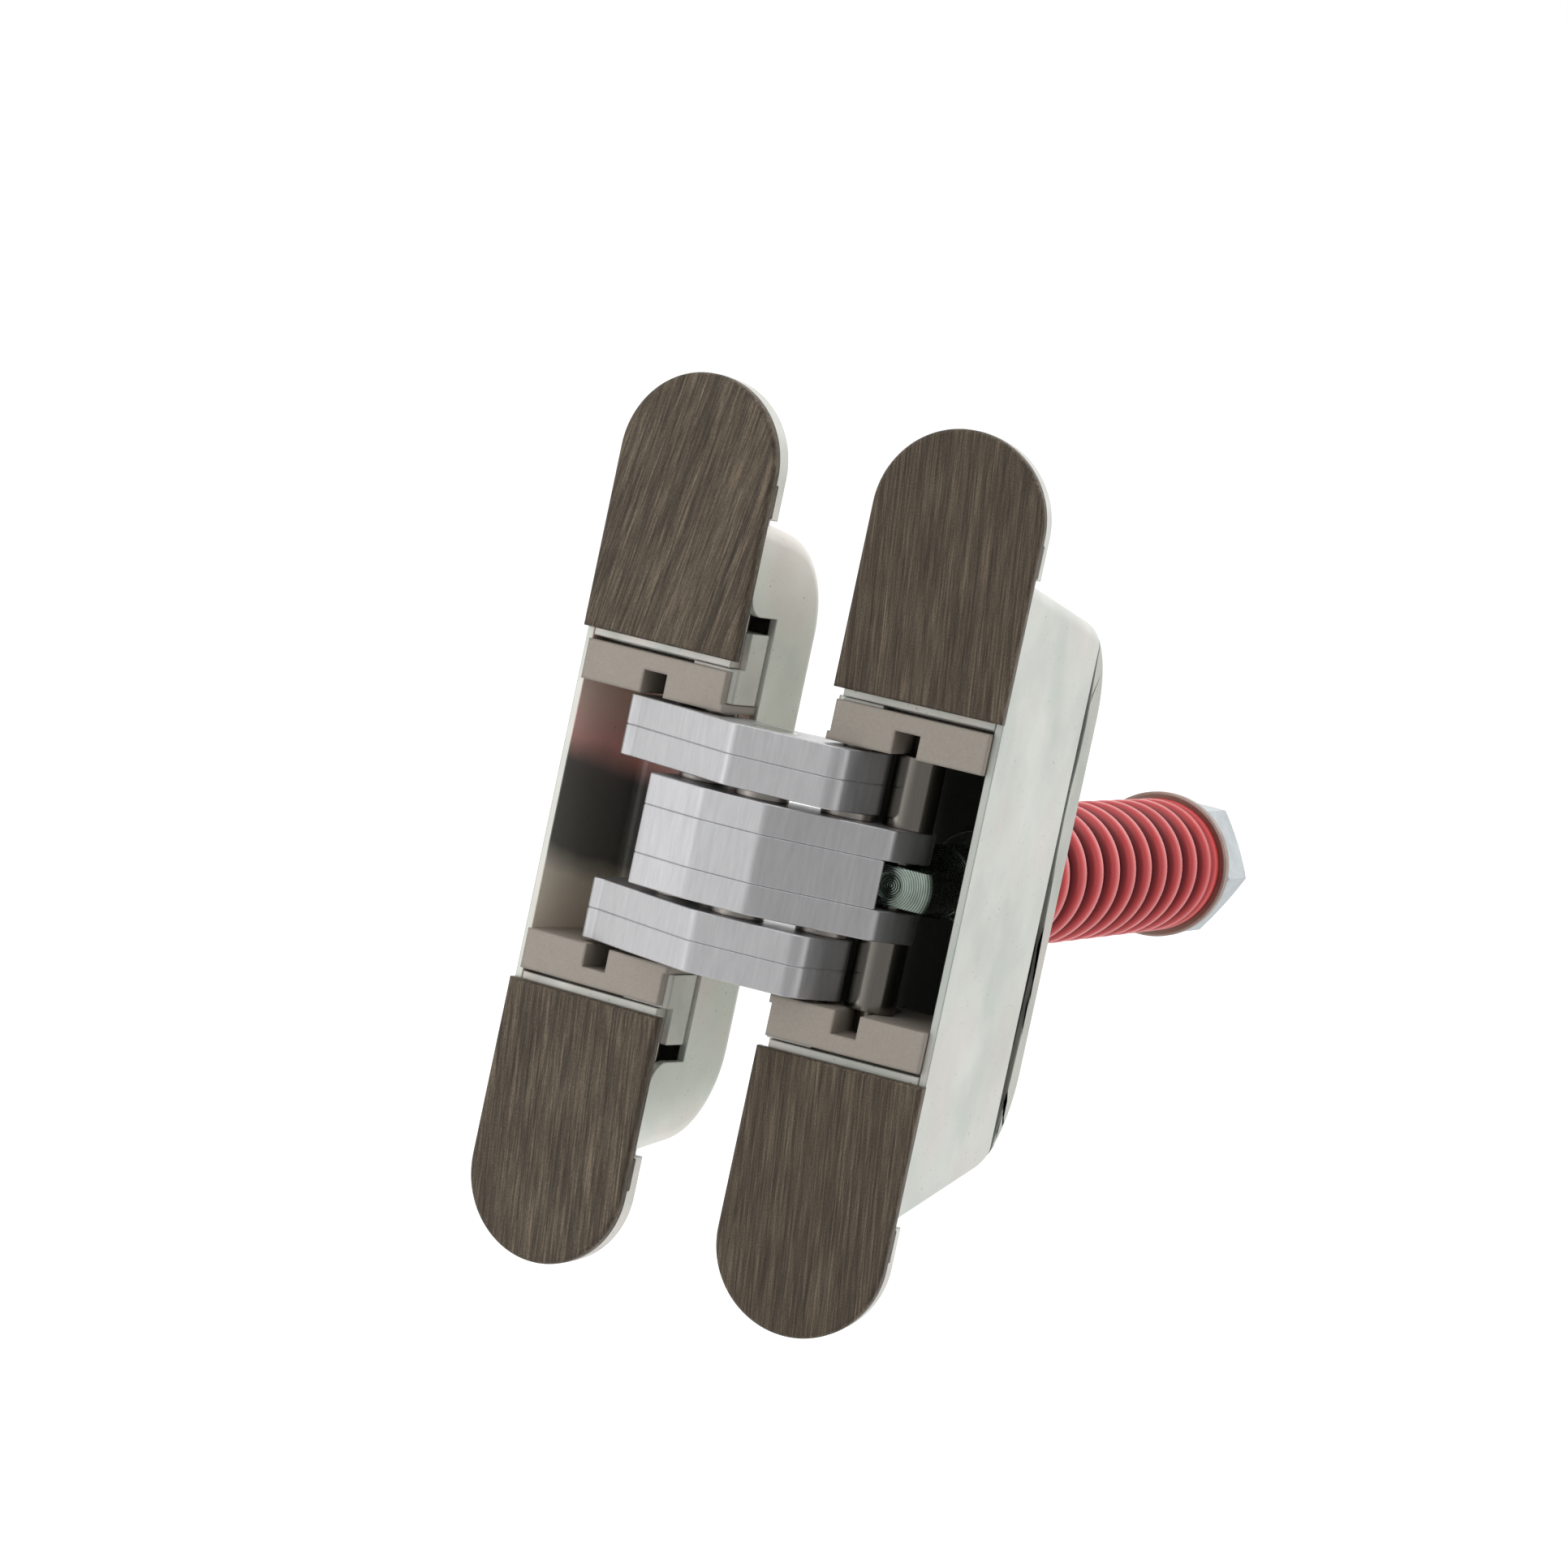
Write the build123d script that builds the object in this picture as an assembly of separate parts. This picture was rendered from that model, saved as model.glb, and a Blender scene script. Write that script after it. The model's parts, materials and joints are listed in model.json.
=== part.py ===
from build123d import *
from math import atan2, cos, degrees, hypot, radians, sin, sqrt
import os

os.makedirs("parts", exist_ok=True)

# Everything is in millimetres. Two like units face each other across a pair of crossed arms.
# A unit is drawn in its own frame: x runs across its face towards the other unit, y runs into
# the door from the face, and z runs along the hinge. The spring unit is the reference.

# Faces
leaf_length = 120.0
leaf_width = 23.4
cap_thickness = 1.5
cap_edge_round = 0.5
cap_inner_end = 23.9
cap_tab_gap = 0.4
cap_tab_height = 4.2
cap_tab_depth = 0.6
cap_tab_thickness = 0.8
plate_thickness = 2.5
plate_inner_end = 22.9
plate_margin = 0.15

# Cases
case_half_height = 42.7
case_wall = 1.0
case_inset = 0.1
spring_case_depth = 45.0
spring_case_taper = 6.5
spring_case_corner = 13.5
frame_case_depth = 22.6
frame_case_taper = 3.0
frame_case_corner = 13.0
case_edge_round = 2.2
side_cut_half_height = 30.0
side_cut_depth = 9.6
side_cut_round = 3.5
back_cover_depth = 8.2
back_cover_slit = 0.9
fit_gap = 0.1

# Linkage
pivot_across = 8.0
pivot_depth = 6.0
slide_across = 0.45
slide_depth = 8.9
closed_gap = 4.0
closed_knee_across = -0.1
opening_angle = 188.5
knee_ratio = -0.375
pivot_pin_radius = 2.5
slide_pin_radius = 1.8
slide_end_radius = 1.6
groove_clearance = 0.15
slide_end_gap = 0.3
shoulder_gap = 0.1
running_clearance = 0.05
passing_clearance = 0.25

# Arms
sheet_thickness = 4.1
core_thickness = 6.5
arm_gap = 1.0
lug_radius = 4.1
far_lug_radius = 3.8
boss_radius = 4.5
knee_pin_radius = 3.0
outer_near_bend = (7.5, -3.0)
outer_far_bend = (-1.8, 2.2)
outer_far_corner = (-3.7, 2.2)
middle_near_corner = (4.0, -2.2)
middle_near_bend = (13.3, -4.1)
middle_far_bend = (0.1, 1.5)
knee_bend = (3.9, -5.7)
leg_half_width = 3.0
bend_round = 2.5
corner_round = 0.8
layer_edge = 0.12
core_end_radius = 5.9
sleeve_radius = 3.4
washer_radius = 3.6
washer_gap = 0.05

# Guide blocks and carriers
window_half_height = 17.0
block_height = 5.4
block_front = 0.4
block_depth = 20.4
block_skin = 1.4
block_ledge = 1.1
block_side_gap = 0.7
ledge_side_gap = 0.3
groove_depth = 3.1
carrier_edge = 4.9
carrier_top = 27.7
carrier_front = 1.9
carrier_stem_gap = 4.7
carrier_side_gap = 0.2
carrier_stem_depth = 13.0
carrier_round = 1.0
pin_end_gap = 0.2

# Screws
fixing_screw_end = 8.5
fixing_hole_radius = 2.4
fixing_sink_radius = 4.4
adjusting_screw_drop = 5.5
adjusting_screw_radius = 3.0
adjusting_head_radius = 4.5
adjusting_head_depth = 1.6
adjusting_key = 3.0

# Closing spring and pull rod
rod_radius = 5.0
tongue_radius = 6.0
tongue_half_thickness = 2.6
tongue_front = 4.4
tongue_length = 22.0
tongue_side_cut = 5.25
tongue_hole_radius = 1.7
tongue_hole_depth = 0.8
tongue_round = 0.8
shank_overlap = 2.0
rod_travel = 6.6
slot_clearance = 0.1
bush_radius = 6.5
bush_flange_radius = 9.4
bush_flange_thickness = 1.4
bush_collar = 3.0
spring_radius = 10.0
spring_wire_width = 4.5
spring_wire_height = 3.9
spring_turns = 10.5
washer_back = 134.5
spring_washer_radius = 11.0
spring_washer_thickness = 2.3
spring_washer_chamfer = 0.3
nut_flats = 17.0
nut_height = 13.0
nut_chamfer = 1.2
nut_crown_share = 0.57
rod_end_length = 1.2
rod_end_chamfer = 1.0


def turned(point, angle):
    """A point in the plane, turned about the origin by an angle in degrees."""
    c, s = cos(radians(angle)), sin(radians(angle))
    return (point[0] * c - point[1] * s, point[0] * s + point[1] * c)


def added(a, b):
    return (a[0] + b[0], a[1] + b[1])


def taken(a, b):
    return (a[0] - b[0], a[1] - b[1])


# The linkage in the unit's frame. Both units carry the same linkage, mirrored about the line
# through the knee that halves the angle between the faces.
pivot = (pivot_across, pivot_depth)
slide_start = (slide_across, slide_depth)
arm_travel = opening_angle / (2 + knee_ratio)
knee_closed = (closed_knee_across, -closed_gap / 2)
knee = added(pivot, turned(taken(knee_closed, pivot), arm_travel))
lean = (opening_angle - 180) / 2
mirror_normal = turned((1, 0), lean)
half_spread = knee[0] * mirror_normal[0] + knee[1] * mirror_normal[1]


def across_mirror(point):
    """The same place on the other unit, seen from this one, with the hinge open."""
    shift = 2 * (half_spread - point[0] * mirror_normal[0] - point[1] * mirror_normal[1])
    return (point[0] + shift * mirror_normal[0], point[1] + shift * mirror_normal[1])


def slide_at(share):
    """Where the slide pin stands when the hinge is closed by this share of its travel."""
    turn = -arm_travel * share
    knee_now = added(pivot, turned(taken(knee, pivot), turn))
    return added(knee_now, turned(taken(slide_start, knee), turn * (1 + knee_ratio)))


far_pivot = across_mirror(pivot)
far_slide = across_mirror(slide_start)

# Places along z and y that several pieces share
middle_top = core_thickness / 2 + sheet_thickness
outer_bottom = middle_top + arm_gap
outer_top = outer_bottom + 2 * sheet_thickness
block_top = window_half_height + block_height
plate_back = cap_thickness + plate_thickness
tab_low = case_half_height + cap_tab_gap
tab_high = tab_low + cap_tab_height
carrier_stem_top = case_half_height - carrier_stem_gap
adjusting_screw_height = carrier_stem_top - adjusting_screw_drop
fixing_screw_height = leaf_length / 2 - fixing_screw_end
pin_top = plate_inner_end - pin_end_gap
slide_end_top = window_half_height + groove_depth - slide_end_gap
shoulder = window_half_height - shoulder_gap
case_outer = leaf_width / 2 - case_inset
case_inner = case_outer - case_wall
washer_front = washer_back - spring_washer_thickness
spring_seat = spring_case_depth + bush_flange_thickness

# How far a cutter runs past what it cuts, and the steps along the slide pin's path
beyond = 5.0
path_steps = 8


def save(name, solid):
    export_step(solid, f"parts/{name}.step")


def box_between(x, y, z):
    """A box from its low and high values along each axis."""
    size = [high - low for low, high in (x, y, z)]
    middle = [(low + high) / 2 for low, high in (x, y, z)]
    return Pos(*middle) * Box(*size)


def upright(point, radius, low, high):
    """A cylinder along z at a point of the plan."""
    return Pos(point[0], point[1], (low + high) / 2) * Cylinder(radius, high - low)


def along_y(x, z, radius, front, back):
    """A cylinder along y."""
    place = Pos(x, (front + back) / 2, z) * Rot(X=90)
    return place * Cylinder(radius, back - front)


def flipped(solid):
    """The lower of two like pieces."""
    return mirror(solid, about=Plane.XY)


def on_spring_unit(solid):
    return mirror(solid, about=Plane.YZ)


frame_unit_place = (
    Pos(-2 * half_spread * mirror_normal[0], 2 * half_spread * mirror_normal[1], 0)
    * Rot(Z=-2 * lean)
)


def on_frame_unit(solid):
    return frame_unit_place * solid


# Cover caps and fixing plates


def leaf_outline(width, end):
    """The upper half of a leaf: straight sides and a half-round end."""
    radius = width / 2
    straight = Pos(0, (end + leaf_length / 2 - leaf_width / 2) / 2)
    body = straight * Rectangle(width, leaf_length / 2 - leaf_width / 2 - end)
    return body + Pos(0, leaf_length / 2 - leaf_width / 2) * Circle(radius)


def leaf_slab(width, end, front, back):
    """The leaf outline as a slab between two depths."""
    plane = Plane(origin=(0, front, 0), x_dir=(1, 0, 0), z_dir=(0, -1, 0))
    return extrude(plane * leaf_outline(width, end), -(back - front))


def cover_cap():
    cap = leaf_slab(leaf_width, cap_inner_end, 0, cap_thickness)
    front_edges = cap.edges().group_by(Axis.Y)[0]
    cap = fillet(front_edges, cap_edge_round)
    for side in (-1, 1):
        outer = side * leaf_width / 2
        inner = side * (leaf_width / 2 - cap_tab_thickness)
        x = (min(outer, inner), max(outer, inner))
        y = (cap_thickness, cap_thickness + cap_tab_depth)
        cap += box_between(x, y, (tab_low, tab_high))
    return cap


def fixing_plate():
    width = leaf_width - 2 * plate_margin
    plate = leaf_slab(width, plate_inner_end, cap_thickness, plate_back)
    narrow = case_inner - fit_gap
    y = (cap_thickness - 1, plate_back + 1)
    for side in (-1, 1):
        low, high = sorted((side * narrow, side * leaf_width))
        plate -= box_between((low, high), y, (0, case_half_height + fit_gap))
        notch = leaf_width / 2 - cap_tab_thickness - fit_gap
        low, high = sorted((side * notch, side * leaf_width))
        tab_y = (cap_thickness - 1, cap_thickness + cap_tab_depth + fit_gap)
        plate -= box_between((low, high), tab_y, (tab_low - fit_gap, tab_high + fit_gap))
    plate -= along_y(0, fixing_screw_height, fixing_hole_radius, *y)
    sink = fixing_sink_radius - fixing_hole_radius
    cone = Cone(fixing_hole_radius, fixing_sink_radius, sink)
    plate -= Pos(0, cap_thickness + sink / 2, fixing_screw_height) * Rot(X=90) * cone
    plate -= along_y(0, adjusting_screw_height, adjusting_screw_radius + fit_gap, *y)
    head_back = cap_thickness + adjusting_head_depth + fit_gap
    plate -= along_y(0, adjusting_screw_height, adjusting_head_radius + fit_gap, y[0], head_back)
    return plate


def adjusting_screw():
    head_back = cap_thickness + adjusting_head_depth + fit_gap
    head_front = head_back - adjusting_head_depth
    z = adjusting_screw_height
    screw = along_y(0, z, adjusting_head_radius, head_front, head_back)
    screw += along_y(0, z, adjusting_screw_radius, head_back, carrier_stem_depth)
    key = Plane(origin=(0, head_front, z), x_dir=(1, 0, 0), z_dir=(0, -1, 0))
    socket = key * RegularPolygon(adjusting_key / 2, 6, major_radius=False)
    return screw - extrude(socket, -adjusting_head_depth)


# Guide blocks, carriers and pins


def groove_cutter():
    """The groove, swept in short straight steps that overlap at round joints."""
    radius = slide_end_radius + groove_clearance
    points = [(slide_across, block_front - beyond)]
    points += [slide_at(step / path_steps) for step in range(path_steps + 1)]
    flat = Pos(*points[0]) * Circle(radius)
    for a, b in zip(points, points[1:]):
        run = taken(b, a)
        length = hypot(*run)
        middle = ((a[0] + b[0]) / 2, (a[1] + b[1]) / 2)
        angle = degrees(atan2(run[1], run[0]))
        flat += Pos(*middle) * Rot(Z=angle) * Rectangle(length, 2 * radius)
        flat += Pos(*b) * Circle(radius)
    return Pos(0, 0, window_half_height - 1) * extrude(flat, groove_depth + 1)


def guide_block():
    z = (window_half_height, block_top)
    side = case_inner - fit_gap
    block = box_between((-side, carrier_edge - fit_gap), (block_front, block_depth), z)
    skin_back = block_front + block_skin
    block += box_between((carrier_edge - 1, case_outer - block_side_gap), (block_front, skin_back), z)
    ledge_z = (window_half_height, window_half_height + block_ledge)
    ledge_back = side_cut_depth - fit_gap
    block += box_between((carrier_edge - 1, case_outer - ledge_side_gap), (block_front, ledge_back), ledge_z)
    block -= upright(pivot, pivot_pin_radius + fit_gap, z[0] - 1, z[1] + 1)
    return block - groove_cutter()


def carrier():
    """The zinc piece that holds the pivot pin's end and hangs from the adjusting screw."""
    back = side_cut_depth - fit_gap
    low = window_half_height + block_ledge + fit_gap
    lug = box_between((carrier_edge, case_outer - carrier_side_gap), (carrier_front, back), (low, carrier_top))
    outer_edge = lug.edges().filter_by(Axis.Z).group_by(Axis.X)[-1]
    lug = fillet(outer_edge, carrier_round)
    bar_front = plate_back + fit_gap
    bar_x = (-(case_inner - fit_gap), carrier_edge)
    bar = box_between(bar_x, (bar_front, carrier_stem_depth), (block_top + fit_gap, carrier_top))
    stem_x = (-(case_inner - fit_gap), carrier_edge + 1)
    stem = box_between(stem_x, (bar_front, carrier_stem_depth), (carrier_top, carrier_stem_top))
    lug -= box_between((0, leaf_width), (0, bar_front), (plate_inner_end - fit_gap, carrier_top))
    body = lug + bar + stem
    body -= upright(pivot, pivot_pin_radius, low - 1, pin_top)
    y = (0, carrier_stem_depth + 1)
    return body - along_y(0, adjusting_screw_height, adjusting_screw_radius, *y)


def pivot_pin():
    return upright(pivot, pivot_pin_radius, -pin_top, pin_top)


# Cases


def case_outline(depth, half_height, taper, corner, front, inset=0.0):
    """Side view of a case: drawn in to the back and rounded at the back corners."""
    top = half_height - inset
    back = depth - inset
    low = top - taper
    face = Polygon(
        (front, -top), (back, -low), (back, low), (front, top), align=None
    )
    corners = face.vertices().group_by(Axis.X)[-1]
    return fillet(corners, max(corner - inset, 0.5))


def side_plane(x):
    """A plane whose own x runs along the row's y and whose own y runs along z."""
    return Plane(origin=(x, 0, 0), x_dir=(0, 1, 0), z_dir=(1, 0, 0))


def case_body(depth, taper, corner):
    outline = case_outline(depth, case_half_height, taper, corner, cap_thickness)
    outer = extrude(side_plane(-case_outer) * outline, 2 * case_outer)
    rims = [e for e in outer.edges() if abs(abs(e.center().X) - case_outer) < 0.01]
    rims = [e for e in rims if e.center().Y > cap_thickness + 0.01]
    outer = fillet(rims, case_edge_round)
    hollow = case_outline(
        depth, case_half_height, taper, corner, cap_thickness - 1, case_wall
    )
    inner = extrude(side_plane(-case_inner) * hollow, 2 * case_inner)
    rims = [e for e in inner.edges() if abs(abs(e.center().X) - case_inner) < 0.01]
    rims = [e for e in rims if e.center().Y > cap_thickness]
    inner = fillet(rims, case_edge_round - case_wall)
    return outer - inner


def case_openings():
    """What is cut from both cases: the gap side in front, and room for the fixing plates."""
    z = (-side_cut_half_height, side_cut_half_height)
    x = (case_inner - 1, case_outer + 1)
    cut = box_between(x, (-beyond, side_cut_depth), z)
    wide = side_cut_half_height + side_cut_round
    for side in (-1, 1):
        low, high = sorted((side * wide, side * (side_cut_half_height - 1)))
        corner = box_between(x, (-beyond, cap_thickness + side_cut_round), (low, high))
        axis_place = Pos(0, cap_thickness + side_cut_round, side * wide) * Rot(Y=90)
        cut += corner - axis_place * Cylinder(side_cut_round, 2 * leaf_width)
        inner = case_inner - fit_gap
        low, high = sorted((side * carrier_stem_top, side * leaf_length / 2))
        cut += box_between((-inner, inner), (-beyond, plate_back), (low, high))
    return cut


def frame_case():
    body = case_body(frame_case_depth, frame_case_taper, frame_case_corner)
    return body - case_openings()


def behind_slit():
    """Everything behind the curved front edge of the back cover."""
    y = spring_case_depth - back_cover_depth
    half = case_half_height
    far = spring_case_depth + beyond
    ends = ((y, -half), (y, half))
    bow = ThreePointArc(ends[0], (y + back_cover_slit, 0), ends[1])
    rest = Polyline(ends[1], (far, half), (far, -half), ends[0])
    return extrude(side_plane(-leaf_width) * make_face(bow + rest), 2 * leaf_width)


def spring_case():
    whole = case_body(spring_case_depth, spring_case_taper, spring_case_corner)
    y = (spring_case_depth - back_cover_depth, spring_case_depth + beyond)
    behind = box_between((-leaf_width, leaf_width), y, (-leaf_length, leaf_length))
    return whole - case_openings() - behind


def spring_case_cover():
    front = spring_case_depth - back_cover_depth
    bore = along_y(0, 0, bush_radius, front, spring_case_depth + beyond)
    whole = case_body(spring_case_depth, spring_case_taper, spring_case_corner) - bore
    return whole & behind_slit()


# Arms


def leg(a, b, half_width):
    """A straight band in the plan between two points."""
    run = taken(b, a)
    place = Pos((a[0] + b[0]) / 2, (a[1] + b[1]) / 2) * Rot(Z=degrees(atan2(run[1], run[0])))
    return place * Rectangle(hypot(*run), 2 * half_width)


def touch_point(outside, centre, radius, side):
    """Where the line from a point touches a circle, on its left (1) or right (-1)."""
    run = taken(centre, outside)
    distance = hypot(*run)
    angle = side * degrees(atan2(radius, sqrt(distance * distance - radius * radius)))
    length = sqrt(distance * distance - radius * radius)
    unit = turned((run[0] / distance, run[1] / distance), angle)
    return added(outside, (unit[0] * length, unit[1] * length))


knee_corner = added(knee, knee_bend)

# The front outline of each arm, from the lug on this unit's pivot pin to the lug on the far
# slide pin, as points with their rounding. The far points are given from the far unit's side.
outer_front = [
    (outer_near_bend, bend_round),
    (knee_corner, bend_round),
    (across_mirror(outer_far_bend), corner_round),
    (across_mirror(outer_far_corner), corner_round),
]
middle_front = [
    (middle_near_corner, corner_round),
    (middle_near_bend, bend_round),
    (knee_corner, bend_round),
    (across_mirror(middle_far_bend), bend_round),
]


def arm_plan(front):
    """Plan of an arm with this front outline."""
    points = [point for point, _ in front]
    near_touch = touch_point(points[0], pivot, lug_radius, 1)
    far_touch = touch_point(points[-1], far_slide, far_lug_radius, -1)
    front = Polygon(pivot, near_touch, *points, far_touch, far_slide, knee, align=None)
    plan = front + leg(pivot, knee, lug_radius) + leg(knee, far_slide, leg_half_width)
    plan += Pos(*pivot) * Circle(lug_radius)
    plan += Pos(*knee) * Circle(boss_radius)
    plan += Pos(*far_slide) * Circle(far_lug_radius)
    return plan


def far_pin_sweep(low, high):
    """Room for the far unit's pivot pin, which swings about the knee as the hinge closes."""
    reach = pivot_pin_radius + passing_clearance
    spoke = taken(far_pivot, knee)
    steps = 6
    room = upright(far_pivot, reach, low, high)
    for step in range(steps):
        points = []
        for share in (step / steps, (step + 1) / steps):
            points.append(added(knee, turned(spoke, knee_ratio * -arm_travel * share)))
        flat = leg(points[0], points[1], reach) + Pos(*points[1]) * Circle(reach)
        room += Pos(0, 0, low) * extrude(flat, high - low)
    return room


def tongue_room(low, high):
    """Room for the flat end of the pull rod, which turns about the slide pin as it closes."""
    side = passing_clearance + tongue_side_cut
    wide = passing_clearance + tongue_radius
    boxes = []
    for step in range(path_steps + 1):
        share = step / path_steps
        pin = slide_at(share)
        front = tongue_front + rod_travel * share - passing_clearance
        tongue = box_between((-wide, side), (front, front + tongue_length), (low, high))
        turned_back = Rot(Z=arm_travel * share * (1 + knee_ratio))
        boxes.append(Pos(*slide_start) * turned_back * Pos(-pin[0], -pin[1]) * tongue)
    room = boxes[0].fuse(*boxes[1:])
    middle = (half_spread * mirror_normal[0], half_spread * mirror_normal[1], 0)
    return mirror(room, about=Plane(origin=middle, z_dir=(*mirror_normal, 0)))


def rounded_bends(solid, front):
    """The arm's front bends, each with its own rounding."""
    for point, radius in front:
        chosen = []
        for edge in solid.edges().filter_by(Axis.Z):
            place = edge.center()
            if hypot(place.X - point[0], place.Y - point[1]) < 0.05:
                chosen.append(edge)
        solid = fillet(chosen, radius)
    return solid


def arm_layer(front, low, high, knee_hole, near_hole, far_hole):
    layer = Pos(0, 0, low) * extrude(arm_plan(front), high - low)
    layer = rounded_bends(layer, front)
    rims = layer.edges().group_by(Axis.Z)
    layer = chamfer(rims[0] + rims[-1], layer_edge)
    layer -= far_pin_sweep(low - 1, high + 1)
    for centre, radius in ((knee, knee_hole), (pivot, near_hole), (far_slide, far_hole)):
        layer -= upright(centre, radius, low - 1, high + 1)
    return layer


outer_layers = {
    "outer_arm_inner_sheet": (outer_bottom, outer_bottom + sheet_thickness),
    "outer_arm_outer_sheet": (outer_bottom + sheet_thickness, outer_top),
}


def outer_sheet(low, high):
    near = pivot_pin_radius + running_clearance
    return arm_layer(outer_front, low, high, knee_pin_radius, near, slide_pin_radius)


def middle_sheet():
    near = pivot_pin_radius + running_clearance
    loose = knee_pin_radius + running_clearance
    low, high = core_thickness / 2, middle_top
    return arm_layer(middle_front, low, high, loose, near, slide_pin_radius)


def middle_core():
    near = pivot_pin_radius + running_clearance
    loose = knee_pin_radius + running_clearance
    low, high = -core_thickness / 2, core_thickness / 2
    core = arm_layer(middle_front, low, high, loose, near, slide_pin_radius)
    core -= upright(far_slide, core_end_radius, low - 1, high + 1)
    return core - tongue_room(low - 1, high + 1)


def knee_pin():
    return upright(knee, knee_pin_radius, -outer_top, outer_top)


def gap_washer(centre, bore):
    low, high = middle_top + washer_gap, outer_bottom - washer_gap
    return upright(centre, washer_radius, low, high) - upright(centre, bore, low - 1, high + 1)


def slide_pin(low, high):
    """A slide pin's body, without its reduced end."""
    return upright(far_slide, slide_pin_radius, low, high)


def frame_slide_pin():
    body = slide_pin(outer_bottom, shoulder)
    return body + upright(far_slide, slide_end_radius, shoulder, slide_end_top)


def spring_slide_pin():
    body = slide_pin(-shoulder, shoulder)
    return body + upright(far_slide, slide_end_radius, -slide_end_top, slide_end_top)


def slide_sleeve():
    low, high = middle_top + washer_gap, shoulder
    sleeve = upright(far_slide, sleeve_radius, low, high)
    return sleeve - upright(far_slide, slide_pin_radius, low - 1, high + 1)


# Pull rod and closing spring


def pin_slot():
    """Room in the rod for the slide pin, which sways and runs ahead of the rod's even pull."""
    shares = [step / path_steps for step in range(path_steps + 1)]
    across = [-slide_at(share)[0] for share in shares]
    ahead = [slide_at(share)[1] - rod_travel * share for share in shares]
    room = slide_pin_radius + slot_clearance
    x = (min(across) - room, max(across) + room)
    y = (min(ahead) - room, max(ahead) + room)
    slot = box_between(x, y, (-2 * tongue_half_thickness, 2 * tongue_half_thickness))
    return fillet(slot.edges().filter_by(Axis.Z), slide_pin_radius)


def pull_rod():
    end = washer_back + nut_height + rod_end_length
    shank = along_y(0, 0, rod_radius, tongue_front + tongue_length - shank_overlap, end)
    shank = chamfer(shank.edges().group_by(Axis.Y)[-1], rod_end_chamfer)
    tongue = along_y(0, 0, tongue_radius, tongue_front, tongue_front + tongue_length)
    tongue = fillet(tongue.edges().group_by(Axis.Y)[0], tongue_round)
    y = (tongue_front - 1, tongue_front + tongue_length + 1)
    flat = tongue_half_thickness
    tongue &= box_between((-tongue_side_cut, tongue_radius + 1), y, (-flat, flat))
    hole_back = tongue_front + tongue_hole_depth
    tongue -= along_y(0, 0, tongue_hole_radius, tongue_front - 1, hole_back)
    return tongue - pin_slot() + shank


def rod_bush():
    wall = spring_case_depth - case_wall
    bush = along_y(0, 0, bush_radius, wall - bush_collar, spring_case_depth)
    bush += along_y(0, 0, bush_flange_radius, spring_case_depth, spring_seat)
    y = (wall - bush_collar - beyond, spring_seat + beyond)
    return bush - along_y(0, 0, rod_radius + running_clearance, *y)


def closing_spring():
    """Rectangular wire, wound from the bush to the washer, with ground ends."""
    length = washer_front - spring_seat
    pitch = length / spring_turns
    middle = spring_radius - spring_wire_width / 2
    path = Helix(pitch, length + 2 * pitch, middle)
    start = path @ 0
    section = Plane(origin=start, x_dir=(1, 0, 0), z_dir=path % 0)
    wire = sweep(section * Rectangle(spring_wire_width, spring_wire_height), path, is_frenet=True)
    wire = Pos(0, spring_seat - pitch, 0) * Rot(X=-90) * wire
    return wire & along_y(0, 0, spring_radius + beyond, spring_seat, washer_front)


def spring_washer():
    washer = along_y(0, 0, spring_washer_radius, washer_front, washer_back)
    washer = chamfer(washer.edges().filter_by(GeomType.CIRCLE), spring_washer_chamfer)
    return washer - along_y(0, 0, rod_radius, washer_front - 1, washer_back + 1)


def rod_nut():
    plane = Plane(origin=(0, washer_back, 0), x_dir=(1, 0, 0), z_dir=(0, 1, 0))
    nut = extrude(plane * RegularPolygon(nut_flats / 2, 6, major_radius=False), nut_height)
    crown = along_y(0, 0, nut_flats * nut_crown_share, washer_back, washer_back + nut_height)
    crown = chamfer(crown.edges().filter_by(GeomType.CIRCLE), nut_chamfer)
    nut = nut & crown
    return nut - along_y(0, 0, rod_radius, washer_back - 1, washer_back + nut_height + 1)


# Write every piece

for unit, place in (("spring_unit", on_spring_unit), ("frame_unit", on_frame_unit)):
    for piece, maker in (
        ("cap", cover_cap),
        ("plate", fixing_plate),
        ("guide_block", guide_block),
        ("carrier", carrier),
    ):
        solid = maker()
        save(f"{unit}_{piece}_top", place(solid))
        save(f"{unit}_{piece}_bottom", place(flipped(solid)))
    screw = adjusting_screw()
    save(f"{unit}_adjusting_screws", Compound([place(screw), place(flipped(screw))]))
    save(f"{unit}_pivot_pin", place(pivot_pin()))
    washer = gap_washer(pivot, pivot_pin_radius)
    save(f"{unit}_pivot_washers", Compound([place(washer), place(flipped(washer))]))

save("frame_unit_case", on_frame_unit(frame_case()))
save("spring_unit_case", on_spring_unit(spring_case()))
save("spring_unit_back_cover", on_spring_unit(spring_case_cover()))
save("spring_unit_rod_bush", rod_bush())

for name, (low, high) in outer_layers.items():
    sheet = outer_sheet(low, high)
    save(f"{name}_upper", on_spring_unit(sheet))
    save(f"{name}_lower", on_spring_unit(flipped(sheet)))
save("knee_pin", on_spring_unit(knee_pin()))
knee_washer = gap_washer(knee, knee_pin_radius)
save("knee_washer_upper", on_spring_unit(knee_washer))
save("knee_washer_lower", on_spring_unit(flipped(knee_washer)))
save("frame_slide_pin_upper", on_spring_unit(frame_slide_pin()))
save("frame_slide_pin_lower", on_spring_unit(flipped(frame_slide_pin())))

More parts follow.
